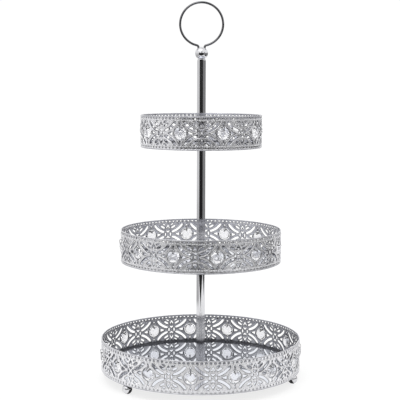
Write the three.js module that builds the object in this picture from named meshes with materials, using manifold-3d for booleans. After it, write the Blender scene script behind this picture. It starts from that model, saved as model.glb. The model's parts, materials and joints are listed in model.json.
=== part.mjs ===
// Three-tier serving stand: three round trays on one sectional pole, with a ring handle on top.
// Each tray is a pierced metal band round a sheet pan and a mirror plate, hung with crystals.
// Millimetres, +Z up. The origin is on the supporting surface, under the axis of the pole.
import * as THREE from "three";
import { mergeVertices } from "three/addons/utils/BufferGeometryUtils.js";
import Module from "manifold-3d";

// ---- Driving dimensions -------------------------------------------------------------------

const GAP = 0.3; // clearance left between pieces that touch

// Crystals are counted anticlockwise from the direction `phase`, in degrees from +X.
const TIERS = [
  { name: "bottom", radius: 150, bandBase: 14, crystals: 15, phase: 96.7 },
  { name: "middle", radius: 120, bandBase: 178, crystals: 12, phase: 11.2 },
  { name: "top", radius: 90, bandBase: 349, crystals: 9, phase: 10.5 },
];
const SIDES_PER_CRYSTAL = 4; // flat sides of a round tray part, for each crystal round it

const BAND_HEIGHT = 48;
const BAND_WALL = 1;
const OPENING_RADIUS = 9.75;
const OPENING_SIDES = 12;

const PAN_SHEET = 0.8;
const PAN_EDGE_WALL = 1;
const PAN_ABOVE_BAND_BASE = 0.6; // underside of the pan above the band's lower edge
const MIRROR_THICKNESS = 2;
const MIRROR_BEVEL = 1.2;

const CRYSTAL_RADIUS = 9; // to the corners: 16.6 mm across the flats
const CRYSTAL_TABLE_RADIUS = 5.2;
const CRYSTAL_THICKNESS = 6;
const CRYSTAL_GIRDLE = 1;
const CRYSTAL_SIDES = 8;

const TUBE_RADIUS = 6.6;
const TUBE_WALL = 1;
const TUBE_SIDES = 20;
const PLUG_LENGTH = 14; // solid tapped end inside each tube
const BORE_RADIUS = 3;
const STUD_RADIUS = BORE_RADIUS - GAP;
const STUD_ENGAGEMENT = 10; // stud length inside each tapped end
const STUD_SIDES = 12;

const BOLT_HEAD_RADIUS = 5.77; // hexagon 10 across flats
const BOLT_HEAD_HEIGHT = 4;
const WASHER_RADIUS = 9;
const WASHER_THICKNESS = 1.2;

const FOOT_COUNT = 3;
const FOOT_PHASE = 103; // degrees from +X to the rear foot
const FOOT_RADIUS = 7.2;
const FOOT_CIRCLE = 143.5; // distance of each foot from the pole's axis
const FOOT_NECK_RADIUS = 3.2;
const RIVET_RADIUS = 2;

const POLE_TOP = 477.4;
const COLLAR_RADIUS = 6.3;
const COLLAR_THICKNESS = 1.3;
const BALL_RADIUS = 9.8;
const BALL_CENTRE = 487.5;
const BALL_SEAT_RADIUS = 5.5;
const BALL_BORE_DEPTH = 6.3;

const RING_RADIUS = 31.75; // to the wire's centre
const RING_CENTRE = 530;
const RING_WIRE_RADIUS = 1.7;
const RING_END_SPREAD = 4.6; // each wire end from the pole's axis
const RING_END_LENGTH = 4.5; // wire end inside the ball
const RING_BEND_START = 13; // degrees from straight down, where the wire leaves the circle

// ---- Materials ----------------------------------------------------------------------------

const metal = (color, roughness) =>
  new THREE.MeshStandardMaterial({ color, roughness, metalness: 1 });
const SILVER = metal(0xc9c9ce, 0.3);
const CHROME = metal(0xd8d8dc, 0.08);
const SHEET_STEEL = metal(0xa9abaf, 0.4);
const ZINC = metal(0x9a9da3, 0.45);
const MIRROR = metal(0xeef0f4, 0.02);
const CRYSTAL = new THREE.MeshStandardMaterial({
  color: 0xeeeef8,
  roughness: 0.02,
  metalness: 0,
  transparent: true,
  opacity: 0.5,
});

// ---- Solid helpers ------------------------------------------------------------------------

const wasm = await Module();
wasm.setup();

// A closed geometry as a manifold solid, its shared vertices merged.
function solidOf(geometry) {
  const bare = new THREE.BufferGeometry();
  const source = geometry.index ? geometry.toNonIndexed() : geometry;
  bare.setAttribute("position", source.getAttribute("position"));
  const merged = mergeVertices(bare, 1e-4);
  return new wasm.Manifold(
    new wasm.Mesh({
      numProp: 3,
      vertProperties: merged.attributes.position.array,
      triVerts: new Uint32Array(merged.index.array),
    }),
  );
}

function geometryOf(solid) {
  const mesh = solid.getMesh();
  const geometry = new THREE.BufferGeometry();
  geometry.setAttribute("position", new THREE.BufferAttribute(mesh.vertProperties, 3));
  geometry.setIndex(new THREE.BufferAttribute(mesh.triVerts, 1));
  geometry.computeVertexNormals();
  return geometry;
}

// The first geometry with each of the others cut out of it.
function cut(geometry, tools) {
  return geometryOf(tools.reduce((left, tool) => left.subtract(solidOf(tool)), solidOf(geometry)));
}

// A profile of [radius, height] pairs, anticlockwise, turned round +Z. A profile that doesn't
// begin and end on the axis is closed on itself.
function turned(profile, sides) {
  const points = profile.map(([r, z]) => new THREE.Vector2(r, z));
  if (points[0].x > 0) points.push(points[0].clone());
  return new THREE.LatheGeometry(points, sides).rotateX(Math.PI / 2);
}

// Points [radius, height] of a circle about (0, centre), from one angle to the other, in degrees
// from straight down.
function arc(radius, centre, from, to, steps) {
  const points = [];
  for (let i = 0; i <= steps; i++) {
    const angle = THREE.MathUtils.degToRad(from + ((to - from) * i) / steps);
    points.push([radius * Math.abs(Math.sin(angle)), centre - radius * Math.cos(angle)]);
  }
  return points;
}

function named(name, geometry, material) {
  const mesh = new THREE.Mesh(geometry, material);
  mesh.name = name;
  return mesh;
}

// ---- Tray parts, in a tray's own frame: z = 0 at the band's lower edge -----------------------

const PAN_FLOOR_TOP = PAN_ABOVE_BAND_BASE + PAN_SHEET;
const MIRROR_BASE = PAN_FLOOR_TOP + GAP;
const MIRROR_TOP = MIRROR_BASE + MIRROR_THICKNESS;

// The hoop, with one round opening for each crystal.
function bandGeometry(tier) {
  const sides = tier.crystals * SIDES_PER_CRYSTAL;
  const inner = tier.radius - BAND_WALL;
  const hoop = turned(
    [
      [inner, 0],
      [tier.radius, 0],
      [tier.radius, BAND_HEIGHT],
      [inner, BAND_HEIGHT],
    ],
    sides,
  );
  const openings = crystalAngles(tier).map((angle) =>
    new THREE.CylinderGeometry(OPENING_RADIUS, OPENING_RADIUS, 10 * BAND_WALL, OPENING_SIDES)
      .rotateZ(Math.PI / 2)
      .translate(tier.radius - BAND_WALL / 2, 0, BAND_HEIGHT / 2)
      .rotateZ(angle),
  );
  return cut(hoop, openings);
}

// The sheet pan, with a turned-up edge, a hole for the stud and one for each rivet.
function panGeometry(tier, rivetAngles) {
  const edge = tier.radius - BAND_WALL - GAP;
  const pan = turned(
    [
      [BORE_RADIUS, PAN_ABOVE_BAND_BASE],
      [edge, PAN_ABOVE_BAND_BASE],
      [edge, MIRROR_TOP],
      [edge - PAN_EDGE_WALL, MIRROR_TOP],
      [edge - PAN_EDGE_WALL, PAN_FLOOR_TOP],
      [BORE_RADIUS, PAN_FLOOR_TOP],
    ],
    tier.crystals * SIDES_PER_CRYSTAL,
  );
  const holes = rivetAngles.map((angle) =>
    new THREE.CylinderGeometry(RIVET_RADIUS + GAP, RIVET_RADIUS + GAP, 4 * PAN_SHEET, STUD_SIDES)
      .rotateX(Math.PI / 2)
      .translate(FOOT_CIRCLE, 0, PAN_ABOVE_BAND_BASE + PAN_SHEET / 2)
      .rotateZ(angle),
  );
  return cut(pan, holes);
}

function mirrorGeometry(tier) {
  const edge = tier.radius - BAND_WALL - PAN_EDGE_WALL - 2 * GAP;
  const hole = TUBE_RADIUS + 2 * GAP;
  return turned(
    [
      [hole, MIRROR_BASE],
      [edge, MIRROR_BASE],
      [edge, MIRROR_TOP - MIRROR_BEVEL / 2],
      [edge - MIRROR_BEVEL, MIRROR_TOP],
      [hole, MIRROR_TOP],
    ],
    tier.crystals * SIDES_PER_CRYSTAL,
  );
}

// A flat eight-sided faceted bead, its thickness along +X.
function crystalGeometry() {
  const half = CRYSTAL_THICKNESS / 2;
  return turned(
    [
      [0, -half],
      [CRYSTAL_TABLE_RADIUS, -half],
      [CRYSTAL_RADIUS, -CRYSTAL_GIRDLE / 2],
      [CRYSTAL_RADIUS, CRYSTAL_GIRDLE / 2],
      [CRYSTAL_TABLE_RADIUS, half],
      [0, half],
    ],
    CRYSTAL_SIDES,
  )
    .rotateZ(Math.PI / CRYSTAL_SIDES)
    .rotateY(Math.PI / 2);
}

function crystalAngles(tier) {
  return Array.from({ length: tier.crystals }, (_, i) =>
    THREE.MathUtils.degToRad(tier.phase + (360 * i) / tier.crystals),
  );
}

function buildTray(tier, rivetAngles) {
  const tray = new THREE.Group();
  tray.position.z = tier.bandBase;
  tray.add(named(`${tier.name}_band`, bandGeometry(tier), SILVER));
  tray.add(named(`${tier.name}_pan`, panGeometry(tier, rivetAngles), SHEET_STEEL));
  tray.add(named(`${tier.name}_mirror`, mirrorGeometry(tier), MIRROR));
  const bandMiddle = tier.radius - BAND_WALL / 2;
  crystalAngles(tier).forEach((angle, i) => {
    const number = String(i + 1).padStart(2, "0");
    const crystal = named(`${tier.name}_crystal_${number}`, crystalGeometry(), CRYSTAL);
    crystal.position.set(
      bandMiddle * Math.cos(angle),
      bandMiddle * Math.sin(angle),
      BAND_HEIGHT / 2,
    );
    crystal.rotation.z = angle;
    tray.add(crystal);
  });
  return tray;
}

// ---- Pole -----------------------------------------------------------------------------------

// A tube from one height to another, with a solid tapped plug in each end.
function tubeGeometry(bottom, top) {
  const inside = TUBE_RADIUS - TUBE_WALL;
  const chamfer = TUBE_WALL / 4;
  return turned(
    [
      [BORE_RADIUS, bottom],
      [TUBE_RADIUS - chamfer, bottom],
      [TUBE_RADIUS, bottom + chamfer],
      [TUBE_RADIUS, top - chamfer],
      [TUBE_RADIUS - chamfer, top],
      [BORE_RADIUS, top],
      [BORE_RADIUS, top - PLUG_LENGTH],
      [inside, top - PLUG_LENGTH],
      [inside, bottom + PLUG_LENGTH],
      [BORE_RADIUS, bottom + PLUG_LENGTH],
    ],
    TUBE_SIDES,
  );
}

function rodGeometry(radius, bottom, top, sides) {
  return turned(
    [
      [0, bottom],
      [radius, bottom],
      [radius, top],
      [0, top],
    ],
    sides,
  );
}

// A disc with the stud's hole through it.
function ringGeometry(radius, bottom, top, sides) {
  return turned(
    [
      [BORE_RADIUS, bottom],
      [radius, bottom],
      [radius, top],
      [BORE_RADIUS, top],
    ],
    sides,
  );
}

function buildPole() {
  const pole = new THREE.Group();
  const seats = TIERS.map((tier) => tier.bandBase + PAN_FLOOR_TOP + GAP);
  const undersides = TIERS.map((tier) => tier.bandBase + PAN_ABOVE_BAND_BASE - GAP);
  const tops = [undersides[1], undersides[2], POLE_TOP];
  ["lower", "middle", "upper"].forEach((name, i) => {
    pole.add(named(`${name}_pole_tube`, tubeGeometry(seats[i], tops[i]), CHROME));
  });
  for (const i of [1, 2]) {
    const stud = rodGeometry(
      STUD_RADIUS,
      undersides[i] - STUD_ENGAGEMENT,
      seats[i] + STUD_ENGAGEMENT,
      STUD_SIDES,
    );
    pole.add(named(`${TIERS[i].name}_tray_stud`, stud, ZINC));
  }
  pole.add(named("base_washer", baseWasherGeometry(undersides[0]), ZINC));
  pole.add(named("base_bolt", baseBoltGeometry(undersides[0], seats[0]), ZINC));
  return pole;
}

function baseWasherGeometry(underside) {
  return ringGeometry(WASHER_RADIUS, underside - WASHER_THICKNESS, underside, TUBE_SIDES);
}

// A hexagon-headed bolt, up through the washer and the pan into the lowest tube.
function baseBoltGeometry(underside, seat) {
  const headTop = underside - WASHER_THICKNESS - GAP;
  const head = rodGeometry(BOLT_HEAD_RADIUS, headTop - BOLT_HEAD_HEIGHT, headTop, 6);
  const shank = rodGeometry(STUD_RADIUS, headTop - 1, seat + STUD_ENGAGEMENT, STUD_SIDES);
  return geometryOf(solidOf(head).add(solidOf(shank)));
}

// ---- Feet -----------------------------------------------------------------------------------

function footAngles() {
  return Array.from({ length: FOOT_COUNT }, (_, i) =>
    THREE.MathUtils.degToRad(FOOT_PHASE + (360 * i) / FOOT_COUNT),
  );
}

// A ball on a short neck, with a rivet end that fills the hole in the pan.
function footGeometry() {
  const neckBase = 180 - THREE.MathUtils.radToDeg(Math.asin(FOOT_NECK_RADIUS / FOOT_RADIUS));
  const panUnderside = TIERS[0].bandBase + PAN_ABOVE_BAND_BASE;
  return turned(
    [
      ...arc(FOOT_RADIUS, FOOT_RADIUS, 0, neckBase, 8),
      [FOOT_NECK_RADIUS, panUnderside - GAP],
      [RIVET_RADIUS, panUnderside - GAP],
      [RIVET_RADIUS, panUnderside + PAN_SHEET],
      [0, panUnderside + PAN_SHEET],
    ],
    16,
  );
}

function buildFeet() {
  const feet = new THREE.Group();
  footAngles().forEach((angle, i) => {
    const foot = named(`foot_${i + 1}`, footGeometry(), CHROME);
    foot.position.set(FOOT_CIRCLE * Math.cos(angle), FOOT_CIRCLE * Math.sin(angle), 0);
    feet.add(foot);
  });
  return feet;
}

// ---- Finial and ring handle -------------------------------------------------------------------

const COLLAR_BASE = POLE_TOP + GAP;
const COLLAR_TOP = COLLAR_BASE + COLLAR_THICKNESS;
const BALL_BASE = COLLAR_TOP + GAP;
const BALL_BORE_TOP = BALL_BASE + BALL_BORE_DEPTH;

// The centre line of the handle: a circle in the XZ plane, its two ends bent down into the ball.
function handleCurve() {
  const path = new THREE.CurvePath();
  const start = THREE.MathUtils.degToRad(RING_BEND_START);
  const leave = new THREE.Vector3(
    RING_RADIUS * Math.sin(start),
    0,
    RING_CENTRE - RING_RADIUS * Math.cos(start),
  );
  const corner = new THREE.Vector3(
    RING_END_SPREAD,
    0,
    leave.z - (leave.x - RING_END_SPREAD) * Math.tan(start),
  );
  const enter = new THREE.Vector3(RING_END_SPREAD, 0, ballSurface(RING_END_SPREAD));
  const end = new THREE.Vector3(RING_END_SPREAD, 0, enter.z - RING_END_LENGTH);
  const mirrored = (p) => new THREE.Vector3(-p.x, 0, p.z);
  path.add(new THREE.LineCurve3(end, enter));
  path.add(new THREE.QuadraticBezierCurve3(enter, corner, leave));
  path.add(new RingArc(start));
  path.add(new THREE.QuadraticBezierCurve3(mirrored(leave), mirrored(corner), mirrored(enter)));
  path.add(new THREE.LineCurve3(mirrored(enter), mirrored(end)));
  return path;
}

// The round part of the handle, from `start` radians past straight down, over the top.
class RingArc extends THREE.Curve {
  constructor(start) {
    super();
    this.start = start;
  }

  getPoint(t, target = new THREE.Vector3()) {
    const angle = this.start + (2 * Math.PI - 2 * this.start) * t;
    const x = RING_RADIUS * Math.sin(angle);
    return target.set(x, 0, RING_CENTRE - RING_RADIUS * Math.cos(angle));
  }
}

// Height of the ball's upper surface at a distance from its axis.
function ballSurface(r) {
  return BALL_CENTRE + Math.sqrt(BALL_RADIUS ** 2 - r ** 2);
}

function ringHandleGeometry() {
  const section = new THREE.Shape();
  section.absarc(0, 0, RING_WIRE_RADIUS, 0, 2 * Math.PI);
  return new THREE.ExtrudeGeometry(section, {
    curveSegments: 5,
    steps: 64,
    extrudePath: handleCurve(),
  });
}

// The ball, with a blind bore under it and a socket on top for each end of the ring.
function finialBallGeometry() {
  const seatAngle = THREE.MathUtils.radToDeg(Math.asin(BALL_SEAT_RADIUS / BALL_RADIUS));
  const ball = turned(
    [
      [0, BALL_BORE_TOP],
      [BORE_RADIUS, BALL_BORE_TOP],
      [BORE_RADIUS, BALL_BASE],
      [BALL_SEAT_RADIUS, BALL_BASE],
      ...arc(BALL_RADIUS, BALL_CENTRE, seatAngle, 180, 10),
    ],
    24,
  );
  const socketRadius = RING_WIRE_RADIUS + GAP;
  const socketBase = ballSurface(RING_END_SPREAD) - RING_END_LENGTH - GAP;
  const socketLength = 2 * BALL_RADIUS;
  const sockets = [-1, 1].map((side) =>
    new THREE.CylinderGeometry(socketRadius, socketRadius, socketLength, STUD_SIDES)
      .rotateX(Math.PI / 2)
      .translate(side * RING_END_SPREAD, 0, socketBase + socketLength / 2),
  );
  return cut(ball, sockets);
}

function buildFinial() {
  const finial = new THREE.Group();
  const collar = ringGeometry(COLLAR_RADIUS, COLLAR_BASE, COLLAR_TOP, TUBE_SIDES);
  const stud = rodGeometry(
    STUD_RADIUS,
    POLE_TOP - STUD_ENGAGEMENT,
    BALL_BORE_TOP - GAP,
    STUD_SIDES,
  );
  finial.add(named("finial_collar", collar, CHROME));
  finial.add(named("finial_stud", stud, ZINC));
  finial.add(named("finial_ball", finialBallGeometry(), CHROME));
  finial.add(named("ring_handle", ringHandleGeometry(), CHROME));
  return finial;
}

// ---- Whole stand ------------------------------------------------------------------------------

const stand = new THREE.Group();
stand.add(buildFeet());
TIERS.forEach((tier, i) => stand.add(buildTray(tier, i === 0 ? footAngles() : [])));
stand.add(buildPole());
stand.add(buildFinial());

export default stand;
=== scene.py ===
import json
import math

import bmesh
import bpy
import numpy as np
from mathutils import Euler, Matrix, Vector
from mathutils.geometry import delaunay_2d_cdt

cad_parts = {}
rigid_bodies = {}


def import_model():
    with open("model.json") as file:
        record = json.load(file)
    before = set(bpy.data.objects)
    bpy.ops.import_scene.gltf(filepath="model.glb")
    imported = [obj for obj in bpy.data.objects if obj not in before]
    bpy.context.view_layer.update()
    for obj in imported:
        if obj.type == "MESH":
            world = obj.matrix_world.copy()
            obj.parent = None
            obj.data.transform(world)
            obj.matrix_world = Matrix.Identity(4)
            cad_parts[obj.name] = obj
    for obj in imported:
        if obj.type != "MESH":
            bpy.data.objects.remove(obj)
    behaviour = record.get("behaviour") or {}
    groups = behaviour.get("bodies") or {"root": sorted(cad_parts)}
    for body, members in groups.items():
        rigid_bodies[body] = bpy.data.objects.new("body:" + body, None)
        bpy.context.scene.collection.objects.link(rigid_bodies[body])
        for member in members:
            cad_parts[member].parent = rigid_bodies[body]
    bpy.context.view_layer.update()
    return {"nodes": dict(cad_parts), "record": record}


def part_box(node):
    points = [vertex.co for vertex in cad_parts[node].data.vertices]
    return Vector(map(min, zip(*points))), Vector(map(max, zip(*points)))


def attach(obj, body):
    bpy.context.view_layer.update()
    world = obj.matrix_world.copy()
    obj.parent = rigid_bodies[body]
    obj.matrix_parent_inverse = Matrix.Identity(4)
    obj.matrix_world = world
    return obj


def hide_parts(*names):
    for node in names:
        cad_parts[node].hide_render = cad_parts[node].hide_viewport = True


# Looks of the three-tier serving stand. Metres; +Z up, -Y is the front.
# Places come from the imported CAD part; ornament is worked out in millimetres on the band laid flat.

MM = 0.001
TIERS = ("bottom", "middle", "top")

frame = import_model()
record = frame["record"]
joint_at = {j["child"]: j for j in record["behaviour"]["joints"]}


# ---- Mesh helpers -----------------------------------------------------------------------------

def add_piece(name, verts, faces, materials, body, replaces=(), sharp=38.0,
              face_material=None, point_values=None):
    """A mesh object that rides on a CAD body. Edges of more than sharp degrees stay crisp.
    face_material gives each face's place in materials, and point_values is
    {attribute: value per point}."""
    mesh = bpy.data.meshes.new(name)
    mesh.from_pydata([tuple(v) for v in verts], [], [tuple(int(i) for i in f) for f in faces])
    obj = bpy.data.objects.new(name, mesh)
    bpy.context.scene.collection.objects.link(obj)
    for material in materials if isinstance(materials, (list, tuple)) else [materials]:
        mesh.materials.append(material)
    if face_material is not None:
        mesh.polygons.foreach_set("material_index", np.asarray(face_material, np.int32))
    for attribute, values in (point_values or {}).items():
        data = mesh.attributes.new(attribute, "FLOAT", "POINT")
        data.data.foreach_set("value", np.asarray(values, np.float32))
    finish_mesh(mesh, sharp)
    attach(obj, body)
    if replaces:
        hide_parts(*replaces)
    return obj


def finish_mesh(mesh, sharp):
    """Normals outwards, and smooth shading up to the angle sharp."""
    bm = bmesh.new()
    bm.from_mesh(mesh)
    bmesh.ops.recalc_face_normals(bm, faces=bm.faces)
    for face in bm.faces:
        face.smooth = sharp > 0
    limit = math.radians(sharp)
    for edge in bm.edges:
        edge.smooth = len(edge.link_faces) == 2 and edge.calc_face_angle(0.0) < limit
    bm.to_mesh(mesh)
    bm.free()


def merged(parts):
    """Several (verts, faces) as one, without joining their vertices."""
    verts, faces, first = [], [], 0
    for v, f in parts:
        v = np.asarray(v, float)
        verts.append(v)
        faces.extend([tuple(int(i) + first for i in face) for face in f])
        first += len(v)
    return np.concatenate(verts), faces


def skin(rings, closed=False):
    """The faces between neighbouring rings of vertex numbers. A ring of one vertex is a tip."""
    faces = []
    for low, high in zip(rings, [*rings[1:], rings[0]] if closed else rings[1:]):
        count = max(len(low), len(high))
        for i in range(count):
            k = (i + 1) % count
            if len(low) < len(high):
                faces.append((low[0], high[k], high[i]))
            elif len(low) > len(high):
                faces.append((low[i], low[k], high[0]))
            elif count > 1:
                faces.append((low[i], low[k], high[k], high[i]))
    return faces


def lathe(profile, segments, centre=(0.0, 0.0), closed=False):
    """A profile of (radius, height), in metres, turned round +Z. A point on the axis becomes one
    vertex. A closed profile goes back to its first point."""
    verts, rings = [], []
    for radius, height in profile:
        if radius < 1e-7:
            rings.append([len(verts)])
            verts.append((centre[0], centre[1], height))
            continue
        rings.append(range(len(verts), len(verts) + segments))
        for i in range(segments):
            angle = 2 * math.pi * i / segments
            verts.append((centre[0] + radius * math.cos(angle),
                          centre[1] + radius * math.sin(angle), height))
    return np.array(verts), skin(rings, closed)


def arc_points(radius, centre, start, end, steps):
    """(radius, height) points of a circle about (0, centre), between two angles in degrees from
    straight down."""
    out = []
    for i in range(steps + 1):
        a = math.radians(start + (end - start) * i / steps)
        out.append((radius * abs(math.sin(a)), centre - radius * math.cos(a)))
    return out


def tube(path, radius, sides, up, closed=True):
    """A round wire along points. up is a direction that is never along the wire."""
    path = np.asarray(path, float)
    if closed:
        ahead = np.roll(path, -1, 0) - np.roll(path, 1, 0)
    else:
        ahead = np.gradient(path, axis=0)
    ahead /= np.linalg.norm(ahead, axis=1)[:, None]
    up = np.broadcast_to(np.asarray(up, float), path.shape)
    side = np.cross(ahead, up)
    side /= np.linalg.norm(side, axis=1)[:, None]
    top = np.cross(side, ahead)
    angles = 2 * np.pi * np.arange(sides) / sides
    verts = (path[:, None]
             + radius * (np.cos(angles)[None, :, None] * side[:, None]
                         + np.sin(angles)[None, :, None] * top[:, None]))
    rings = [range(i * sides, (i + 1) * sides) for i in range(len(path))]
    faces = skin(rings, closed)
    if not closed:
        faces += [tuple(rings[0]), tuple(reversed(rings[-1]))]
    return verts.reshape(-1, 3), faces


# ---- The strip's pattern, laid flat -------------------------------------------------------------
# Millimetres: u along the band, v up from its mid-height, w outwards from the plate's middle.
# One repeat is a crystal opening at u = 0 and a flower at u = FLOWER, mirrored in u and in v.

BAND_LOW, BAND_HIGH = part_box("bottom_band")
HALF_HEIGHT = (BAND_HIGH.z - BAND_LOW.z) / MM / 2
WALL = 1.0                      # the CAD band's thickness
PLATE = 0.45                    # half the thickness of the pierced plate
PLATE_EDGE = 0.22               # and at the rounded edge of a hole
SUNK = 0.05                     # how deep the foot of a dome lies in the plate
OPENING_R = 9.45                # a crystal opening, inside its rolled edge
OPENING_RIM = 0.9               # from there to the middle of the raised rim
LINK_GAP = 1.0                  # half the gap in that rim, for the crystal's link
REPEAT = 20 * math.pi           # the strip's pattern length, the same on every tray
FLOWER = REPEAT / 2
SCALLOP_V = 32.5                # centre of each scallop, beyond the rim over a flower
LINK_V = 11.05                  # the hole each crystal hangs from
RIM_V = 20.7                    # the row of holes along each rim
RIM_HOLES = 10                  # of them in one repeat
RIM_HOLE_REACH = 1.3            # from the row's middle to just past its holes
RIM_WIRE = 0.9                  # radius of the wire along each rim
BEAD_V = 18.5                   # the row of beads inside the rim's holes
BEADS = 26                      # of them in one repeat


def circle(u, v, radius, count):
    a = 2 * np.pi * np.arange(count) / count
    return np.stack([u + radius * np.cos(a), v + radius * np.sin(a)], 1)


def rounded_box(u, v, width, height, corner, steps=3):
    out = []
    for k, (su, sv) in enumerate(((1, 1), (-1, 1), (-1, -1), (1, -1))):
        cu, cv = u + su * (width / 2 - corner), v + sv * (height / 2 - corner)
        for i in range(steps + 1):
            a = math.pi / 2 * (k + i / steps)
            out.append((cu + corner * math.cos(a), cv + corner * math.sin(a)))
    return np.array(out)


def rounded_triangle(points, corner, steps=3):
    """The outline of a small circle carried round a triangle, given anticlockwise."""
    out = []
    for i in range(3):
        before, here, after = (np.array(points[(i + k) % 3], float) for k in (-1, 0, 1))
        start = math.atan2(*(here - before)[::-1]) - math.pi / 2
        end = math.atan2(*(after - here)[::-1]) - math.pi / 2
        while end < start:
            end += 2 * math.pi
        for k in range(steps + 1):
            a = start + (end - start) * k / steps
            out.append((here[0] + corner * math.cos(a), here[1] + corner * math.sin(a)))
    return np.array(out)


def leaf(line, half, count, power=2.0):
    """A closed leaf about line(t), t from 0 to 1. It is half(t) wide to each side, and narrows to
    round ends, later the higher power is."""
    t = (1 - np.cos(np.pi * np.arange(count + 1) / count)) / 2
    mid = np.array([line(x) for x in t])
    along = np.gradient(mid, axis=0)
    along /= np.linalg.norm(along, axis=1)[:, None]
    across = np.stack([-along[:, 1], along[:, 0]], 1)
    width = np.array([half(x) for x in t]) * (1 - np.abs(2 * t - 1) ** power) ** 0.5
    left = mid + across * width[:, None]
    right = mid - across * width[:, None]
    return np.concatenate([right, left[-2:0:-1]])


def straight(start, end):
    start, end = np.array(start, float), np.array(end, float)
    return lambda t: start + (end - start) * t


def scallop_line(radius, from_flower, to_flower):
    """Part of a circle about a scallop's centre, between two distances from the flower."""
    a0, a1 = math.asin(from_flower / radius), math.asin(to_flower / radius)

    def line(t):
        a = a0 + (a1 - a0) * t
        return np.array((FLOWER - radius * math.sin(a), SCALLOP_V - radius * math.cos(a)))
    return line


def opening_rim(radius, gap):
    """A quarter of the rim round an opening, from its side to just short of the link's hole."""
    return [(radius * math.cos(a), radius * math.sin(a))
            for a in np.linspace(0, math.acos(gap / radius), 12)]


# Holes with their place in the first quarter of the repeat: the crystal's opening, its link's hole
# and the slot above, the crescent, the triangle beside the opening, the petals and leaves.
HOLES = [
    circle(0, 0, OPENING_R, 48),
    circle(0, LINK_V, 0.8, 10),
    leaf(straight((0, 13.1), (0, 15.6)), lambda t: 1.15, 8),
    leaf(scallop_line(29.5, 6.4, 24.8), lambda t: 1.95, 24, 7.0),
    rounded_triangle(((12.8, -1.5), (17.4, 0.0), (12.8, 1.5)), 0.9),
    leaf(straight((FLOWER - 4.4, -2.8), (FLOWER - 4.4, 2.8)), lambda t: 1.3, 9, 4.0),
    leaf(straight((FLOWER - 3.1, 6.9), (FLOWER + 0.9, 2.6)), lambda t: 1.15, 11, 4.0),
    leaf(straight((FLOWER - 5.6, 9.9), (FLOWER - 12.7, 14.0)), lambda t: 1.55, 12, 4.0),
    leaf(straight((FLOWER - 2.7, 9.6), (FLOWER + 0.6, 15.8)), lambda t: 0.9, 12, 4.0),
    leaf(straight((FLOWER - 4.6, 14.9), (FLOWER - 9.5, 17.3)), lambda t: 0.95, 9, 4.0),
]
for rim_hole in range(RIM_HOLES // 2):
    centre_u = (rim_hole + 0.5) * REPEAT / RIM_HOLES
    HOLES.append(rounded_box(centre_u, RIM_V, 2.9, 2.1, 0.8, 2))

# Raised ornament on the outer face: open ridges and closed outlines, each with its wire's radius.
RIDGES = [
    (opening_rim(OPENING_R + OPENING_RIM, LINK_GAP), 0.5),
    ([scallop_line(32.7, 6.0, 29.6)(t) for t in np.linspace(0, 1, 22)], 0.5),
    ([scallop_line(26.3, 0.0, 22.0)(t) for t in np.linspace(0, 1, 18)], 0.5),
]
OUTLINES = [
    (rounded_triangle(((13.2, -1.5), (17.6, 0.0), (13.2, 1.5)), 1.9), 0.4),
    (leaf(straight((FLOWER - 4.4, 8.9), (FLOWER - 14.0, 15.0)), lambda t: 2.3, 11), 0.35),
]
BOSSES = [                      # centre, radius and height of domes
    ((FLOWER, 0.0), 1.9, 1.0),
    ((FLOWER, 10.3), 1.4, 0.5),
    ((17.3, 16.7), 1.0, 0.5),
    ((4.6, 14.3), 0.9, 0.5),
    ((12.6, 16.4), 0.8, 0.4),
    ((24.6, 0.0), 0.8, 0.5),
]


def inside(outline, points):
    """Which points lie inside a closed outline."""
    u, v = points[:, 0], points[:, 1]
    result = np.zeros(len(points), bool)
    for (u0, v0), (u1, v1) in zip(outline, np.roll(outline, -1, 0)):
        if v0 == v1:
            continue
        crosses = (v0 > v) != (v1 > v)
        result ^= crosses & (u < (u1 - u0) * (v - v0) / (v1 - v0) + u0)
    return result


def clipped(outline, axis, limit, keep_above):
    """The outline's part on one side of a line u = limit or v = limit."""
    out = []
    sign = 1 if keep_above else -1
    for here, after in zip(outline, np.roll(outline, -1, 0)):
        a, b = sign * (here[axis] - limit), sign * (after[axis] - limit)
        if a >= -1e-9:
            out.append(here)
        if (a > 1e-9 and b < -1e-9) or (a < -1e-9 and b > 1e-9):
            cut = here + (after - here) * a / (a - b)
            cut[axis] = limit
            out.append(cut)
    return np.array(out)


GRID = 2.6                      # spacing of the points between the holes
EDGE_BAND = 0.7                 # width of the rounded border of each hole
OUTSIDE, INSIDE, HOLE, RIM_HOLE = range(4)      # the kinds of face of a pierced plate


def offset(outline, distance):
    """An anticlockwise outline moved outwards."""
    ahead = np.roll(outline, -1, 0) - np.roll(outline, 1, 0)
    ahead /= np.linalg.norm(ahead, axis=1)[:, None]
    return outline + distance * np.stack([ahead[:, 1], -ahead[:, 0]], 1)


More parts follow.
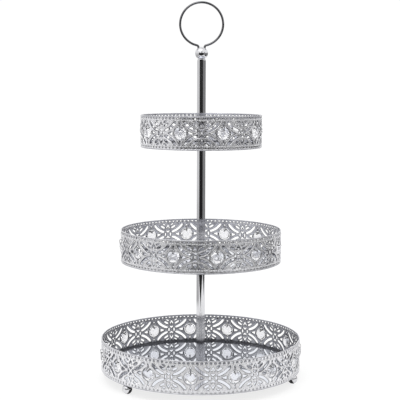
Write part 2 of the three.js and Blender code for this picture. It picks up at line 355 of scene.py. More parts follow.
def quarter_sheet():
    """The plate over u 0..FLOWER and v 0..HALF_HEIGHT, holes left out: points, triangles, and which
    points are on the edge of a hole."""
    size = (FLOWER, HALF_HEIGHT)
    outlines = []
    for outline in HOLES:
        for axis in (0, 1):
            outline = clipped(outline, axis, 0.0, True)
            outline = clipped(outline, axis, size[axis], False)
        outlines.append(outline)
    points, edges = [], []
    corners = [(0, 0), (size[0], 0), (size[0], size[1]), (0, size[1])]
    for loop in [np.array(corners, float)] + outlines:
        first = len(points)
        points.extend(loop.tolist())
        edges.extend((first + i, first + (i + 1) % len(loop)) for i in range(len(loop)))
    us = np.linspace(0, size[0], round(size[0] / GRID) + 1)
    vs = np.linspace(0, size[1], round(size[1] / GRID) + 1)
    holes = np.concatenate(outlines)
    spare = np.array([(u, v) for u in us for v in vs])
    for outline, wanted in [(o, EDGE_BAND) for o in outlines] + [(None, 2 * EDGE_BAND)]:
        extra = spare if outline is None else offset(outline, EDGE_BAND)
        free = (extra >= 0).all(1) & (extra <= size).all(1)
        for other in outlines:
            free &= ~inside(other, extra)
        extra = extra[free]
        taken = np.concatenate([holes, np.array(points[4 + len(holes):]).reshape(-1, 2)])
        # A point too near to one that is there already is left out.
        near = np.array([np.hypot(*(taken - p).T).min() for p in extra])
        points.extend(extra[near > 0.75 * wanted].tolist())
    made = delaunay_2d_cdt([Vector(p) for p in points], edges, [], 0, 1e-5)
    flat = np.array([tuple(p) for p in made[0]])
    triangles = np.array([f for f in made[2] if len(f) == 3])
    centres = flat[triangles].mean(1)
    keep = np.ones(len(triangles), bool)
    for outline in outlines:
        keep &= ~inside(outline, centres)
    a, b, c = (flat[triangles[:, k]] for k in range(3))
    area = (b[:, 0] - a[:, 0]) * (c[:, 1] - a[:, 1]) - (b[:, 1] - a[:, 1]) * (c[:, 0] - a[:, 0])
    keep &= np.abs(area) > 1e-7
    triangles = np.where((area < 0)[:, None], triangles[:, ::-1], triangles)
    at_edge = np.array([np.hypot(*(holes - p).T).min() < 1e-3 for p in flat])
    return flat, triangles[keep], at_edge


def full_sheet(count):
    """The plate for a whole band of count repeats, joined end to end."""
    flat, triangles, at_edge = quarter_sheet()
    points, faces, first = [], [], 0
    for k in range(count):
        for su, sv in ((1, 1), (-1, 1), (-1, -1), (1, -1)):
            copy = flat * (su, sv) + (k * REPEAT, 0)
            points.append(copy)
            turn = triangles if su * sv > 0 else triangles[:, ::-1]
            faces.append(turn + first)
            first += len(flat)
    points, faces = np.concatenate(points), np.concatenate(faces)
    length = count * REPEAT
    key_u = np.round(points[:, 0] * 1000).astype(int) % round(length * 1000)
    key = np.stack([key_u, np.round(points[:, 1] * 1000).astype(int)], 1)
    _, pick, inverse = np.unique(key, axis=0, return_index=True, return_inverse=True)
    faces = inverse.reshape(-1)[faces]
    distinct = ((faces[:, 0] != faces[:, 1]) & (faces[:, 1] != faces[:, 2])
                & (faces[:, 2] != faces[:, 0]))
    return points[pick], faces[distinct], np.tile(at_edge, 4 * count)[pick]


def thickened(points, triangles, at_edge):
    """The flat sheet as a plate that thins at the holes: (u, v, w) points, faces, and the kind of
    each face, HOLE for the walls of holes and rims alike."""
    count = len(points)
    half = np.where(at_edge, PLATE_EDGE, PLATE)
    verts = np.concatenate([np.column_stack([points, half]), np.column_stack([points, -half])])
    edges = set()
    for a, b, c in triangles.tolist():
        edges.update(((a, b), (b, c), (c, a)))
    walls = [(a + count, b + count, b, a) for a, b in edges if (b, a) not in edges]
    faces = [tuple(t) for t in triangles.tolist()]
    faces += [(c + count, b + count, a + count) for a, b, c in triangles.tolist()]
    kinds = [OUTSIDE] * len(triangles) + [INSIDE] * len(triangles) + [HOLE] * len(walls)
    return verts, faces + sorted(walls), kinds


def mirror_copies(outline):
    """The outline and its different mirror images within one repeat."""
    out, seen = [], []
    for su, sv in ((1, 1), (-1, 1), (1, -1), (-1, -1)):
        copy = np.asarray(outline) * (su, sv)
        u, v = copy.mean(0)
        u = (u + 1e-6) % REPEAT
        if any(abs(u - a) < 1e-3 and abs(v - b) < 1e-3 for a, b in seen):
            continue
        seen.append((u, v))
        out.append(copy)
    return out


def all_round(count, repeat):
    """The (verts, faces) of one repeat, once for each of count repeats."""
    verts, faces = repeat
    return merged([(verts + (k * REPEAT, 0, 0), faces) for k in range(count)])


def wrapped(verts, radius, middle, phase):
    """(u, v, w) bent round the pole, in metres. middle is the band's mid-height there."""
    verts = np.asarray(verts, float)
    angle = phase + verts[:, 0] / radius
    r = (radius - WALL / 2 + verts[:, 2]) * MM
    return np.stack([r * np.cos(angle), r * np.sin(angle), middle + verts[:, 1] * MM], 1)


def ridge(outline, radius, closed):
    """A wire along an outline on the plate's outer face."""
    path = np.column_stack([outline, np.full(len(outline), PLATE)])
    return tube(path, radius, 6, (0, 0, 1), closed)


def dome(centre, radius, height, segments=8, rows=3):
    """A low round boss on the plate's outer face."""
    base = PLATE - SUNK
    verts = []
    for r in range(rows):
        a = math.pi / 2 * r / rows
        for i in range(segments):
            t = 2 * math.pi * i / segments
            verts.append((centre[0] + radius * math.cos(a) * math.cos(t),
                          centre[1] + radius * math.cos(a) * math.sin(t),
                          base + height * math.sin(a)))
    rings = [range(r * segments, (r + 1) * segments) for r in range(rows)] + [[len(verts)]]
    verts.append((centre[0], centre[1], base + height))
    return np.array(verts), skin(rings) + [tuple(reversed(rings[0]))]


# ---- Materials --------------------------------------------------------------------------------

def new_material(name):
    """A material with its nodes, its links and its shader."""
    material = bpy.data.materials.new(name)
    material.use_nodes = True
    nodes = material.node_tree.nodes
    links = material.node_tree.links
    return material, nodes, links, nodes["Principled BSDF"]


def noise(nodes, links, scale, detail=3.0, roughness=0.55, distortion=0.0):
    """A noise texture in the part's own coordinates; returns its factor."""
    coord = nodes.new("ShaderNodeTexCoord")
    tex = nodes.new("ShaderNodeTexNoise")
    tex.inputs["Scale"].default_value = scale
    tex.inputs["Detail"].default_value = detail
    tex.inputs["Roughness"].default_value = roughness
    tex.inputs["Distortion"].default_value = distortion
    links.new(coord.outputs["Object"], tex.inputs["Vector"])
    return tex.outputs["Fac"]


def ramp(nodes, links, value, stops):
    """A colour ramp over value. stops are (place, grey level or colour) pairs."""
    node = nodes.new("ShaderNodeValToRGB")
    elements = node.color_ramp.elements
    while len(elements) < len(stops):
        elements.new(0.5)
    for element, (place, colour) in zip(elements, stops):
        element.position = place
        element.color = (*(colour if hasattr(colour, "__len__") else (colour,) * 3), 1)
    links.new(value, node.inputs["Fac"])
    return node.outputs["Color"]


def bump(nodes, links, shader, height, distance):
    node = nodes.new("ShaderNodeBump")
    node.inputs["Strength"].default_value = 1.0
    node.inputs["Distance"].default_value = distance
    links.new(height, node.inputs["Height"])
    links.new(node.outputs["Normal"], shader.inputs["Normal"])


CREVICE_SHADE = 0.14                  # how light the painted shade in corners is, beside the metal's dark colour


def metal(name, light, dark, rough_low, rough_high, scale, bump_scale, bump_depth,
          crevice=0.0, edge=None):
    """Worn plated metal: a cloudy colour between light and dark, a cloudy gloss, and a fine uneven
    surface. scale and bump_scale are how fine clouds and surface are, and bump_depth is in metres.
    crevice is the distance, in metres, within which corners are darkened by ambient occlusion as
    painted shade. edge is the painted shade colour of the borders of the holes."""
    material, nodes, links, shader = new_material(name)
    cloud = noise(nodes, links, scale, 4.0, 0.6, 0.3)
    colour = ramp(nodes, links, cloud, ((0.3, dark), (0.62, light)))
    # Painted shade: the borders of the holes darkened to the edge colour.
    if edge:
        border_shade = nodes.new("ShaderNodeAttribute")
        border_shade.attribute_name = "hole_edge_shade"
        share = ramp(nodes, links, border_shade.outputs["Fac"], ((0.10, 0.0), (0.57, 1.0)))
        colour = mixed(nodes, links, share, colour, edge)
    # Painted shade: corners and crevices darkened by ambient occlusion.
    if crevice:
        around = nodes.new("ShaderNodeAmbientOcclusion")
        around.inputs["Distance"].default_value = crevice
        around.samples = 8
        share = ramp(nodes, links, around.outputs["AO"], ((0.25, 1.0), (0.85, 0.0)))
        colour = mixed(nodes, links, share, colour, tuple(CREVICE_SHADE * c for c in dark))
    links.new(colour, shader.inputs["Base Color"])
    smear = noise(nodes, links, scale * 2.3, 3.0, 0.6, 1.0)
    links.new(ramp(nodes, links, smear, ((0.3, rough_low), (0.7, rough_high))),
              shader.inputs["Roughness"])
    shader.inputs["Metallic"].default_value = 1.0
    grain = noise(nodes, links, bump_scale, 2.0)
    bump(nodes, links, shader, grain, bump_depth)
    return material


def mixed(nodes, links, share, colour, other):
    """colour where share is 0, other where it is 1."""
    node = nodes.new("ShaderNodeMix")
    node.data_type = "RGBA"
    links.new(share, node.inputs["Factor"])
    links.new(colour, node.inputs["A"])
    node.inputs["B"].default_value = (*other, 1)
    return node.outputs["Result"]


# The edge colours below are painted shade along the borders of the holes.
SILVER = metal("silver_plate", (0.96, 0.96, 0.98), (0.84, 0.84, 0.88), 0.26, 0.42, 60, 900, 0.00006,
               crevice=0.0022, edge=(0.05, 0.05, 0.055))
# The inside face: the same silver plate painted darker, as shade.
INNER_FACE_SHADED = metal("silver_back_shaded", (0.92, 0.92, 0.95), (0.72, 0.72, 0.76), 0.24, 0.38, 60, 700, 0.00005,
              crevice=0.0022, edge=(0.05, 0.05, 0.056))
# Hole walls painted dark, as the shade inside the holes.
HOLE_WALL_SHADE = metal("pierced_edge_shade", (0.16, 0.16, 0.17), (0.08, 0.08, 0.09), 0.35, 0.50, 200, 900,
                  0.00003)
WIRE = metal("silver_ridge", (0.92, 0.92, 0.93), (0.76, 0.76, 0.80), 0.20, 0.34, 70, 1200, 0.00003,
             crevice=0.0015)
CHROME = metal("chrome_plate", (0.73, 0.73, 0.75), (0.67, 0.67, 0.69), 0.03, 0.09, 25, 400,
               0.0000006)
PLAIN = metal("plain_silver", (0.90, 0.90, 0.92), (0.76, 0.76, 0.80), 0.26, 0.42, 60, 900, 0.00003)
STEEL = metal("sheet_steel", (0.50, 0.51, 0.53), (0.36, 0.37, 0.40), 0.28, 0.45, 18, 700, 0.00002)
ZINC = metal("zinc_plate", (0.60, 0.61, 0.64), (0.44, 0.45, 0.49), 0.30, 0.50, 90, 1500, 0.00002)
LINK = metal("link_wire", (0.42, 0.42, 0.44), (0.26, 0.26, 0.28), 0.25, 0.40, 300, 2500, 0.00001)
# The crystal's drilled hole, painted near black as the shade inside it.
DRILL_SHADE = metal("drilled_wall_shade", (0.05, 0.05, 0.05), (0.03, 0.03, 0.03), 0.40, 0.60, 300, 2500,
                0.00001)
# The pan's lip above the mirror, painted dark: tarnish and painted shade where mirror meets band.
LIP_TARNISH_SHADE = metal("tarnished_shaded_lip", (0.19, 0.19, 0.20), (0.12, 0.12, 0.13), 0.35, 0.50, 60, 700, 0.00002)
RIM = metal("silver_rim", (0.62, 0.62, 0.65), (0.40, 0.40, 0.44), 0.22, 0.36, 70, 1200, 0.00003,
            crevice=0.0015)
RING = metal("dark_chrome", (0.18, 0.18, 0.19), (0.13, 0.13, 0.14), 0.05, 0.12, 40, 500, 0.000004)


def mirror_material():
    material, nodes, links, shader = new_material("silvered_mirror")
    haze = noise(nodes, links, 9, 5.0, 0.65, 0.6)
    links.new(ramp(nodes, links, haze, ((0.35, (0.69, 0.715, 0.775)), (0.6, (0.77, 0.795, 0.855)))),
              shader.inputs["Base Color"])
    smudge = noise(nodes, links, 22, 4.0, 0.6, 1.5)
    links.new(ramp(nodes, links, smudge, ((0.45, 0.015), (0.75, 0.07))), shader.inputs["Roughness"])
    shader.inputs["Metallic"].default_value = 1.0
    return material


def crystal_material():
    material, nodes, links, shader = new_material("cut_crystal")
    shader.inputs["Transmission Weight"].default_value = 0.88
    shader.inputs["IOR"].default_value = 1.36
    swirl = noise(nodes, links, 130, 3.0, 0.5, 1.2)
    links.new(ramp(nodes, links, swirl, ((0.35, (0.93, 0.93, 0.96)), (0.65, (1.0, 1.0, 1.0)))),
              shader.inputs["Base Color"])
    polish = noise(nodes, links, 400, 2.0)
    links.new(ramp(nodes, links, polish, ((0.4, 0.0), (0.8, 0.05))), shader.inputs["Roughness"])
    return material


MIRROR = mirror_material()
CRYSTAL = crystal_material()


# ---- Trays ------------------------------------------------------------------------------------

CORNER_DARK = 3.2               # painted shade strip inside the band, above the mirror, millimetres
CORNER_FADE = 1.5
CORNER_SHADE = 0.52           # its painted shade, where a hole's border has 1
INNER_SHADE = 0.28            # and the painted shade of the rest of the inside
UNSHADED_R, SHADED_R = 105, 150     # band radii with none and with all of these two painted shades, millimetres
LOW_RIM_BORDER = 0.25           # what is left of the painted shade borders along the lower rim
GAP = 0.0003                    # between neighbouring pieces, metres
BORE_R = 0.003                  # of pans, tubes, washer, collar and ball, metres
STUD_R = 0.0027                 # of the threaded rods that go through them


def centre_height(tier):
    low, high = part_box(f"{tier}_band")
    return (low.z + high.z) / 2


def crystal_names(tier):
    return sorted(n for n in frame["nodes"] if n.startswith(f"{tier}_crystal_"))


def node_angle(node):
    pivot = joint_at[node]["pos_m"]
    return math.atan2(pivot[1], pivot[0])


def band_radius(tier):
    """Radius of the band's outer face in millimetres, from the hinges, which lie in the middle of
    its wall."""
    pivot = joint_at[crystal_names(tier)[0]]["pos_m"]
    return math.hypot(pivot[0], pivot[1]) / MM + WALL / 2


def tray_body(tier):
    return joint_at[crystal_names(tier)[0]]["parent"]


def build_band(tier):
    """The pierced plate, its raised ridges and beads, and the wires along its rims."""
    names = crystal_names(tier)
    count, radius = len(names), band_radius(tier)
    middle, phase, body = centre_height(tier), node_angle(names[0]), tray_body(tier)

    def place(piece, made):
        verts, faces = made
        add_piece(f"{tier}_{piece}", wrapped(verts, radius, middle, phase), faces,
                  WIRE, body, sharp=80)

    points, triangles, at_edge = full_sheet(count)
    verts, faces, kinds = thickened(points, triangles, at_edge)
    floor_v = (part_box(f"{tier}_mirror")[1].z - middle) / MM
    # Painted shade inside the band: a dark strip just above the mirror, and the whole inside darker
    # on the wider trays, which the trays above shade more.
    corner = np.clip(1 - (points[:, 1] - floor_v - CORNER_DARK) / CORNER_FADE, 0, CORNER_SHADE)
    shade_by_size = max(0.0, (radius - UNSHADED_R) / (SHADED_R - UNSHADED_R))
    corner = np.maximum(corner * shade_by_size, INNER_SHADE * shade_by_size)
    face_v = np.array([verts[list(f), 1].mean() for f in faces])
    by_rim = np.abs(face_v) > RIM_V - RIM_HOLE_REACH
    kinds = np.where((np.asarray(kinds) == HOLE) & by_rim, RIM_HOLE, kinds)
    # Painted shade along the borders of the holes, weaker along the lower rim.
    border_shade = np.where(points[:, 1] < RIM_HOLE_REACH - RIM_V, LOW_RIM_BORDER, 1.0) * at_edge
    add_piece(f"{tier}_band_filigree", wrapped(verts, radius, middle, phase), faces,
              (SILVER, INNER_FACE_SHADED, HOLE_WALL_SHADE, PLAIN), body, [f"{tier}_band"], 55,
              kinds, {"hole_edge_shade": np.concatenate([border_shade, np.maximum(border_shade, corner)])})

    ridges = []
    for line, thickness in RIDGES:
        for copy in mirror_copies(np.array(line)):
            ridges.append(ridge(copy, thickness, closed=False))
    for outline, thickness in OUTLINES:
        for copy in mirror_copies(outline):
            ridges.append(ridge(copy, thickness, closed=True))
    for centre, size, height in BOSSES:
        for copy in mirror_copies(np.array([centre])):
            ridges.append(dome(copy[0], size, height))
    place("band_ridges", all_round(count, merged(ridges)))

    pitch = REPEAT / BEADS
    beads = [dome(((i + 0.5) * pitch, v), 0.95, 0.8, 6, 2)
             for v in (-BEAD_V, BEAD_V) for i in range(BEADS)]
    place("band_beading", all_round(count, merged(beads)))

    rims = []
    steps = count * 24
    around = np.arange(steps) * count * REPEAT / steps
    for v in (HALF_HEIGHT - RIM_WIRE, RIM_WIRE - HALF_HEIGHT):
        line = np.column_stack([around, np.full(steps, v), np.zeros(steps)])
        path = wrapped(line, radius, middle, phase)
        rims.append(tube(path, RIM_WIRE * MM, 8, (0, 0, 1)))
    verts, faces = merged(rims)
    add_piece(f"{tier}_band_rim_wires", verts, faces, RIM, body, sharp=80)


def build_floor(tier):
    """The pan and the bevelled mirror lying in it, as smooth turned pieces at the CAD sizes."""
    body = tray_body(tier)
    pan_low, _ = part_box(f"{tier}_pan")
    mirror_low, mirror_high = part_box(f"{tier}_mirror")
    segments = 16 * len(crystal_names(tier))
    sheet, rim, bend, ease, lip_rise = 0.0008, 0.001, 0.0006, 0.0002, 0.0009
    pan_edge = band_radius(tier) * MM - WALL * MM - GAP
    inner = pan_edge - rim
    floor_top = pan_low.z + sheet
    lip = mirror_high.z + lip_rise
    pan = [(BORE_R, pan_low.z), (pan_edge - bend, pan_low.z)]
    pan += [(pan_edge - bend + bend * math.sin(a), pan_low.z + bend - bend * math.cos(a))
            for a in np.radians((30, 60, 90))]
    pan += [(pan_edge, lip - ease), (pan_edge - ease, lip),
            (inner + ease, lip), (inner, lip - ease),
            (inner, floor_top), (BORE_R, floor_top)]
    verts, faces = lathe(pan, segments, closed=True)
    corners = np.array([verts[list(f)] for f in faces])
    wall = np.hypot(corners[..., 0], corners[..., 1]).min(1) > pan_edge - bend * 0.9
    # The lip above the mirror takes the painted shade material.
    brim = corners[..., 2].max(1) > mirror_high.z
    add_piece(f"{tier}_sheet_pan", verts, faces, (STEEL, PLAIN, LIP_TARNISH_SHADE), body,
              [f"{tier}_pan"], face_material=np.where(wall, 1, np.where(brim, 2, 0)))

    edge = inner - GAP
    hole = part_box("lower_pole_tube")[1].x + 0.0006
    bevel = 0.0012
    top = mirror_high.z
    plate = [(hole, mirror_low.z), (edge, mirror_low.z), (edge, top - bevel / 2),
             (edge - bevel, top), (hole, top)]
    verts, faces = lathe(plate, segments, closed=True)
    add_piece(f"{tier}_mirror_plate", verts, faces, MIRROR, body,
              [f"{tier}_mirror"], sharp=12)


# ---- Crystals ---------------------------------------------------------------------------------

# Millimetres, about the middle of the opening.
CRYSTAL_SIDES = 8
CRYSTAL_R = 9.0
CRYSTAL_HOLE_V = 4.9            # the hole the link goes through
DRILL_R = 0.85
LINK_HALF_WIDTH = 3.4
LINK_CORNER = 1.8
LINK_WIRE = 0.4


def crystal_mesh():
    """A flat eight-sided brilliant, thickness along w, with the link's hole drilled through it:
    (verts, faces, whether each face is the hole's wall)."""
    corner = [math.pi / 8 + math.pi / 4 * i for i in range(CRYSTAL_SIDES)]
    flat = [math.pi / 4 * i for i in range(CRYSTAL_SIDES)]
    across = CRYSTAL_R * math.cos(math.pi / 8)
    # The table, the middle of the slope and the girdle.
    rings = ((corner, 5.2, 3.0), (flat, 6.9, 2.05), (corner, CRYSTAL_R, 0.45))
    bm = bmesh.new()
    for side in (-1, 1):
        for angles, radius, w in rings:
            for a in angles:
                bm.verts.new((radius * math.cos(a), radius * math.sin(a), side * w))
        for a in flat:
            bm.verts.new((across * math.cos(a), across * math.sin(a), side * 0.55))
    bmesh.ops.convex_hull(bm, input=bm.verts)
    loose = [v for v in bm.verts if not v.link_faces]
    bmesh.ops.delete(bm, geom=loose, context="VERTS")
    mesh = bpy.data.meshes.new("crystal_cut")
    bm.to_mesh(mesh)
    bm.free()
    body = bpy.data.objects.new("crystal_cut", mesh)
    verts, faces = lathe([(0, -4), (DRILL_R, -4), (DRILL_R, 4), (0, 4)], 12)
    drill_mesh = bpy.data.meshes.new("crystal_drill")
    drill_mesh.from_pydata((verts + (0, CRYSTAL_HOLE_V, 0)).tolist(), [], faces)
    drill = bpy.data.objects.new("crystal_drill", drill_mesh)
    for obj in (body, drill):
        bpy.context.scene.collection.objects.link(obj)
    cut = body.modifiers.new("drill", "BOOLEAN")
    cut.operation, cut.object, cut.solver = "DIFFERENCE", drill, "EXACT"
    bpy.context.view_layer.update()
    made = body.evaluated_get(bpy.context.evaluated_depsgraph_get()).to_mesh()
    verts = np.array([v.co[:] for v in made.vertices])
    faces = [tuple(p.vertices) for p in made.polygons]
    drilled = [np.hypot(*(verts[list(f), :2] - (0, CRYSTAL_HOLE_V)).T).max() < DRILL_R + 0.01
               for f in faces]
    for obj in (body, drill):
        bpy.data.objects.remove(obj)
    return verts, faces, drilled


def build_crystals(tier, cut):
    """Each crystal and its wire link, which goes through the crystal and the band above it."""
    radius, middle = band_radius(tier), centre_height(tier)
    loop = rounded_box((LINK_V + CRYSTAL_HOLE_V) / 2, 0, LINK_V - CRYSTAL_HOLE_V,
                       2 * LINK_HALF_WIDTH, LINK_CORNER, 5)
    link = tube(np.column_stack([np.zeros(len(loop)), loop]), LINK_WIRE, 6, (1, 0, 0))
    for node in crystal_names(tier):
        angle = node_angle(node)
        out = np.array((math.cos(angle), math.sin(angle), 0))
        side = np.array((-math.sin(angle), math.cos(angle), 0))
        origin = out * (radius - WALL / 2) * MM + np.array((0, 0, middle))
        axes = np.array((side, (0, 0, 1), out)) * MM
        # The drilled hole's wall takes the painted shade material.
        add_piece(f"{node}_cut", cut[0] @ axes + origin, cut[1], (CRYSTAL, DRILL_SHADE), node,
                  [node], sharp=4, face_material=cut[2])
        add_piece(f"{node}_link", link[0] @ axes + origin, link[1], LINK, node,
                  sharp=80)


# ---- Pole, fasteners and feet -------------------------------------------------------------------

TUBE_R = band_radius("bottom") * MM * 0.044       # 6.6 mm for the 300 mm tray


def extent(node):
    """(radius, lowest height, highest height) of a round upright node."""
    low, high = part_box(node)
    return (high.x - low.x) / 2, low.z, high.z


def build_tube(node):
    """A tube with a bored plug in each end and chamfered edges."""
    _, low, high = extent(node)
    chamfer, ease, plug, wall = 0.00025, 0.0003, 0.014, 0.001
    inside = TUBE_R - wall
    profile = [(BORE_R + ease, low), (TUBE_R - chamfer, low), (TUBE_R, low + chamfer),
               (TUBE_R, high - chamfer), (TUBE_R - chamfer, high), (BORE_R + ease, high),
               (BORE_R, high - ease), (BORE_R, high - plug), (inside, high - plug),
               (inside, low + plug), (BORE_R, low + plug), (BORE_R, low + ease)]
    verts, faces = lathe(profile, 64, closed=True)
    add_piece(f"{node}_turned", verts, faces, CHROME, "stand", [node])


def threaded(low, high, pitch=0.001, segments=24, rows=5):
    """A rod with one helical thread, flat at both ends: (verts, faces)."""
    depth = pitch * 0.5
    count = round((high - low) / pitch * rows)
    verts, rings = [(0, 0, low)], [[0]]
    for j in range(count + 1):
        rings.append(range(len(verts), len(verts) + segments))
        z = low + (high - low) * j / count
        fade = min(1.0, (z - low) / pitch, (high - z) / pitch)
        for i in range(segments):
            turn = i / segments
            wave = abs(((z / pitch - turn) % 1.0) * 2 - 1)
            r = STUD_R - depth * (1 - wave * fade)
            a = 2 * math.pi * turn
            verts.append((r * math.cos(a), r * math.sin(a), z))
    rings.append([len(verts)])
    verts.append((0, 0, high))
    return np.array(verts), skin(rings)


def build_stud(node, body):
    _, low, high = extent(node)
    verts, faces = threaded(low, high)
    add_piece(f"{node}_threaded", verts, faces, ZINC, body, [node], sharp=50)


def hexagon_head(across, low, high, chamfer):
    """A hexagon head whose corners are chamfered on the underside by a cone."""
    segments, dish = 72, 0.0003
    apothem = across / 2
    # (greatest radius, height), from the dished middle outwards and up.
    rows = ((0.0, low + dish), (apothem * 0.93, low), (apothem * 0.96, low),
            (apothem * 1.16, low + chamfer), (apothem * 1.16, high))
    verts, rings = [], []
    for limit, z in rows:
        if not limit:
            rings.append([len(verts)])
            verts.append((0, 0, z))
            continue
        rings.append(range(len(verts), len(verts) + segments))
        for i in range(segments):
            a = 2 * math.pi * i / segments
            flat = (a + math.pi / 6) % (math.pi / 3) - math.pi / 6
            r = min(limit, apothem / math.cos(flat))
            verts.append((r * math.cos(a), r * math.sin(a), z))
    rings.append([len(verts)])
    verts.append((0, 0, high))
    return np.array(verts), skin(rings)


def build_base_fixing():
    """The bolt, whose thread starts a little inside its head, and its washer."""
    _, low, high = extent("base_bolt")
    radius, washer_low, washer_high = extent("base_washer")
    head_top = washer_low - GAP
    across, chamfer, overlap, bevel = 0.010, 0.0009, 0.0005, 0.00025
    head = hexagon_head(across, low, head_top, chamfer)
    shank = threaded(head_top - overlap, high)
    verts, faces = merged([head, shank])
    add_piece("base_bolt_hexagon", verts, faces, ZINC, "stand", ["base_bolt"],
              sharp=35)
    profile = [(BORE_R, washer_low), (radius - bevel, washer_low), (radius, washer_low + bevel),
               (radius, washer_high - bevel), (radius - bevel, washer_high), (BORE_R, washer_high)]
    verts, faces = lathe(profile, 48, closed=True)
    add_piece("base_washer_turned", verts, faces, ZINC, "stand", ["base_washer"])


def build_foot(node):
    """A ball with a flanged neck under the pan and a rivet end through it."""
    low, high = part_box(node)
    x, y, radius = (low.x + high.x) / 2, (low.y + high.y) / 2, (high.x - low.x) / 2
    pan_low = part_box("bottom_pan")[0].z
    neck, rivet = 0.0032, 0.002
    flange = neck + 0.0010
    neck_angle = 180 - math.degrees(math.asin(neck / radius))
    profile = arc_points(radius, radius, 0, neck_angle - 3, 28)
    top = pan_low - GAP
    last = profile[-1][1]
    profile += [(neck, last + 0.0005), (neck, top - 0.0009), (flange, top - 0.0004),
                (flange, top), (rivet, top), (rivet, high.z - 0.0003),
                (rivet - 0.0005, high.z), (0, high.z)]
    verts, faces = lathe(profile, 48, (x, y))
    add_piece(f"{node}_turned", verts, faces, CHROME, "stand", [node], sharp=50)


# ---- Finial -----------------------------------------------------------------------------------

def build_finial():
    """The collar, the bored ball, the ring handle whose ends enter the ball, and the stud."""
    radius, low, high = extent("finial_collar")
    edge = (high - low) / 2
    profile = [(BORE_R, low)]
    profile += [(radius - edge + edge * math.sin(a), (low + high) / 2 - edge * math.cos(a))
                for a in np.radians(np.arange(0, 181, 22.5))]
    profile += [(BORE_R, high)]
    verts, faces = lathe(profile, 64, closed=True)
    add_piece("finial_collar_turned", verts, faces, CHROME, "finial_collar",
              ["finial_collar"])

    ball_low, ball_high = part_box("finial_ball")
    radius = (ball_high.x - ball_low.x) / 2
    seat, bore_depth = 0.0055, 0.0063
    centre = ball_high.z - radius
    bore_top = ball_low.z + bore_depth
    seat_angle = math.degrees(math.asin(seat / radius))
    profile = [(0, bore_top), (BORE_R, bore_top), (BORE_R, ball_low.z), (seat, ball_low.z)]
    profile += arc_points(radius, centre, seat_angle, 180, 40)[1:]
    verts, faces = lathe(profile, 72)
    add_piece("finial_ball_turned", verts, faces, CHROME, "handle", ["finial_ball"])

    low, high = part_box("ring_handle")
    wire = (high.y - low.y) / 2
    ring = (high.x - low.x) / 2 - wire
    middle = high.z - wire - ring
    # The ring is open by 13 degrees to each side of its foot, where a curve leads each end straight
    # down into the ball, spread from its axis.
    spread, start = 0.0046, math.radians(13)
    leave = np.array((ring * math.sin(start), 0, middle - ring * math.cos(start)))
    corner = np.array((spread, 0, leave[2] - (leave[0] - spread) * math.tan(start)))
    enter = np.array((spread, 0, centre + math.sqrt(radius ** 2 - spread ** 2)))
    path = [enter - (0, 0, 0.0040), enter - (0, 0, 0.0015)]
    for t in np.linspace(0, 1, 9)[:-1]:
        path.append((1 - t) ** 2 * enter + 2 * t * (1 - t) * corner + t ** 2 * leave)
    for a in np.linspace(start, math.pi, 72):
        path.append(np.array((ring * math.sin(a), 0, middle - ring * math.cos(a))))
    path += [p * (-1, 1, 1) for p in path[-2::-1]]
    verts, faces = tube(path, wire, 20, (0, 1, 0), False)
    add_piece("ring_handle_bent", verts, faces, RING, "handle", ["ring_handle"])
    build_stud("finial_stud", "handle")


CUT = crystal_mesh()
for tier_name in TIERS:
    build_band(tier_name)
    build_floor(tier_name)
    build_crystals(tier_name, CUT)
for tube_name in ("lower_pole_tube", "middle_pole_tube", "upper_pole_tube"):
    build_tube(tube_name)
for stud_name in ("middle_tray_stud", "top_tray_stud"):
    build_stud(stud_name, "stand")
build_base_fixing()
for foot_name in ("foot_1", "foot_2", "foot_3"):
    build_foot(foot_name)
build_finial()


# ---- Floor, cards, light and camera -------------------------------------------------------------

FLOOR_SIZE = 12.0
FLOOR_LEVEL = 1.0               # brightness of the floor, where the cards on it begin
CARD_R = 3.0                    # distance of the cards' outer edge
CARD_Z = 0.0005                 # height of the cards that lie on the floor
WALL_TOP = 0.75
LOW_LEVEL_TOP, HIGH_LEVEL_LOW = 0.25, 0.45      # the heights a wall's level changes between


def stage_mesh(name, verts, faces, material):
    mesh = bpy.data.meshes.new(name)
    mesh.from_pydata(verts, [], faces)
    mesh.materials.append(material)
    obj = bpy.data.objects.new(name, mesh)
    bpy.context.scene.collection.objects.link(obj)
    return obj


def floor_material():
    material, nodes, links, shader = new_material("pale_floor")
    cloud = noise(nodes, links, 3, 2.0)
    links.new(ramp(nodes, links, cloud, ((0.3, (0.19, 0.19, 0.19)), (0.7, (0.21, 0.21, 0.21)))),
              shader.inputs["Base Color"])
    shader.inputs["Roughness"].default_value = 0.9
    shader.inputs["Emission Color"].default_value = (1, 1, 1, 1)
    shader.inputs["Emission Strength"].default_value = 0.80
    return material


def card_material(name):
    """Glows as bright as the card's own "level" says, from point to point."""
    material = bpy.data.materials.new(name)
    material.use_nodes = True
    nodes, links = material.node_tree.nodes, material.node_tree.links
    nodes.remove(nodes["Principled BSDF"])
    level = nodes.new("ShaderNodeAttribute")
    level.attribute_name = "level"
    glow = nodes.new("ShaderNodeEmission")
    links.new(level.outputs["Fac"], glow.inputs["Strength"])
    links.new(glow.outputs["Emission"], nodes["Material Output"].inputs["Surface"])
    return material


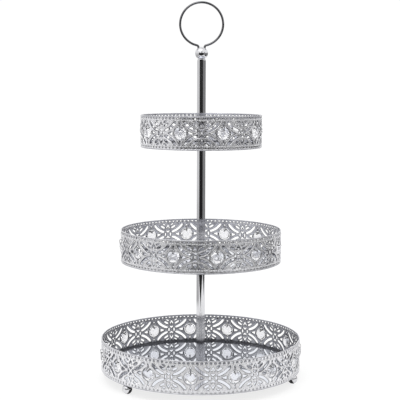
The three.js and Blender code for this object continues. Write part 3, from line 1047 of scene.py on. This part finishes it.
def card(name, azimuths, edges, steps=24):
    """A curved strip seen only in reflections. Azimuth 0 is the front and 90 the right. edges
    gives each edge's (distance, height, level) at an azimuth, from one side to the other."""
    angles = np.linspace(*azimuths, steps + 1)
    rows = np.array([edges(a) for a in angles])
    count = rows.shape[1]
    across, along = np.radians(angles)[:, None], rows[..., 0]
    verts = np.stack((along * np.sin(across), -along * np.cos(across), rows[..., 1]), 2)
    faces = [(i * count + j, (i + 1) * count + j, (i + 1) * count + j + 1, i * count + j + 1)
             for i in range(steps) for j in range(count - 1)]
    obj = stage_mesh(name, verts.reshape(-1, 3), faces, CARD)
    obj.data.attributes.new("level", "FLOAT", "POINT").data.foreach_set(
        "value", rows[..., 2].ravel())
    only_reflected(obj)


def wall_card(name, azimuths, level, top, high_level=None):
    """Stands on the floor. Above the middle tray's height its level goes over to high_level."""
    high_level = high_level or level
    card(name, azimuths, lambda a: ((CARD_R, 0.0, level), (CARD_R, LOW_LEVEL_TOP, level),
                                    (CARD_R, HIGH_LEVEL_LOW, high_level),
                                    (CARD_R, top, high_level)))


def floor_card(name, azimuths, level, near, far, taper=0.0, fade=0.08):
    """Lies on the floor. Its near edge fades in, and runs back towards both of its ends."""
    middle, half = (azimuths[0] + azimuths[1]) / 2, (azimuths[1] - azimuths[0]) / 2

    def edges(a):
        start = near + taper * abs(a - middle) / half
        return ((start, CARD_Z, FLOOR_LEVEL), (start + fade, CARD_Z, level),
                (far, CARD_Z, level))
    card(name, azimuths, edges)


def flat_card(name, height, level, near, far):
    """An even ring or disc round the pole."""
    card(name, (0, 360), lambda a: ((near, height, level), (far, height, level)), 64)


def only_reflected(obj):
    obj.visible_camera = False
    obj.visible_diffuse = False
    obj.visible_transmission = False
    obj.visible_shadow = False
    obj.visible_volume_scatter = False


stage_mesh("floor", [(-FLOOR_SIZE, -FLOOR_SIZE, 0), (FLOOR_SIZE, -FLOOR_SIZE, 0),
                     (FLOOR_SIZE, FLOOR_SIZE, 0), (-FLOOR_SIZE, FLOOR_SIZE, 0)],
           [(0, 1, 2, 3)], floor_material())
CARD = card_material("card")
wall_card("front_card", (-48, 42), 0.02, WALL_TOP, 0.035)
wall_card("right_card", (42, 150), 0.27, WALL_TOP)
wall_card("left_card", (-150, -48), 0.78, WALL_TOP)
wall_card("front_strip", (0, 12), 0.02, 4.0)
wall_card("right_strip", (50, 60), 0.02, 1.6)
wall_card("left_strip", (-44, -34), 0.02, 1.25)
floor_card("front_floor_card", (-48, 42), 0.02, 0.47, CARD_R, taper=0.34, fade=0.04)
floor_card("right_floor_card", (52, 120), 0.05, 0.58, 1.6, taper=0.28, fade=0.04)
floor_card("right_far_card", (42, 150), 0.27, 1.5, CARD_R)
card("left_floor_card", (-150, -48), lambda a: (
    (0.50, CARD_Z, FLOOR_LEVEL), (0.57, CARD_Z, 0.52), (1.1, CARD_Z, 0.55),
    (2.2, CARD_Z, 0.68), (CARD_R, CARD_Z, 0.78)))
floor_card("front_near_card", (-45, 45), 0.75, 0.16, 0.45)
# The shade between the floor and the lowest tray, as the feet reflect it.
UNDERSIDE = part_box("bottom_pan")[0].z - 0.0002
flat_card("under_tray_shade", CARD_Z, 0.04, 0, 0.1465)
flat_card("underside_shade", UNDERSIDE, 0.02, 0.012, 0.1485)

world = bpy.data.worlds.new("soft_white")
bpy.context.scene.world = world
world.use_nodes = True
world.node_tree.nodes["Background"].inputs["Color"].default_value = (1.0, 1.0, 1.0, 1)
world.node_tree.nodes["Background"].inputs["Strength"].default_value = 1.03

key_data = bpy.data.lights.new("soft_top", "AREA")
key_data.shape, key_data.size, key_data.size_y = "RECTANGLE", 1.6, 1.2
key_data.energy = 9
key = bpy.data.objects.new("soft_top", key_data)
bpy.context.scene.collection.objects.link(key)
key.location = (-0.5, -0.9, 1.9)
key.rotation_euler = (Vector((0, 0, 0.25)) - key.location).to_track_quat("-Z", "Y").to_euler()

CAMERA_DOWN, CAMERA_ROLL = 6.37, 0.2              # degrees
camera_data = bpy.data.cameras.new("camera")
camera = bpy.data.objects.new("camera", camera_data)
bpy.context.scene.collection.objects.link(camera)
camera_data.sensor_width = 36
camera_data.lens = 95.5
camera.location = (-0.0015, -1.581, 0.446)
camera.rotation_euler = (Euler((math.radians(90 - CAMERA_DOWN), 0, 0)).to_matrix()
                         @ Matrix.Rotation(math.radians(CAMERA_ROLL), 3, "Z")).to_euler()
bpy.context.scene.camera = camera
bpy.context.scene.view_settings.view_transform = "Standard"
bpy.context.scene.view_settings.look = "None"
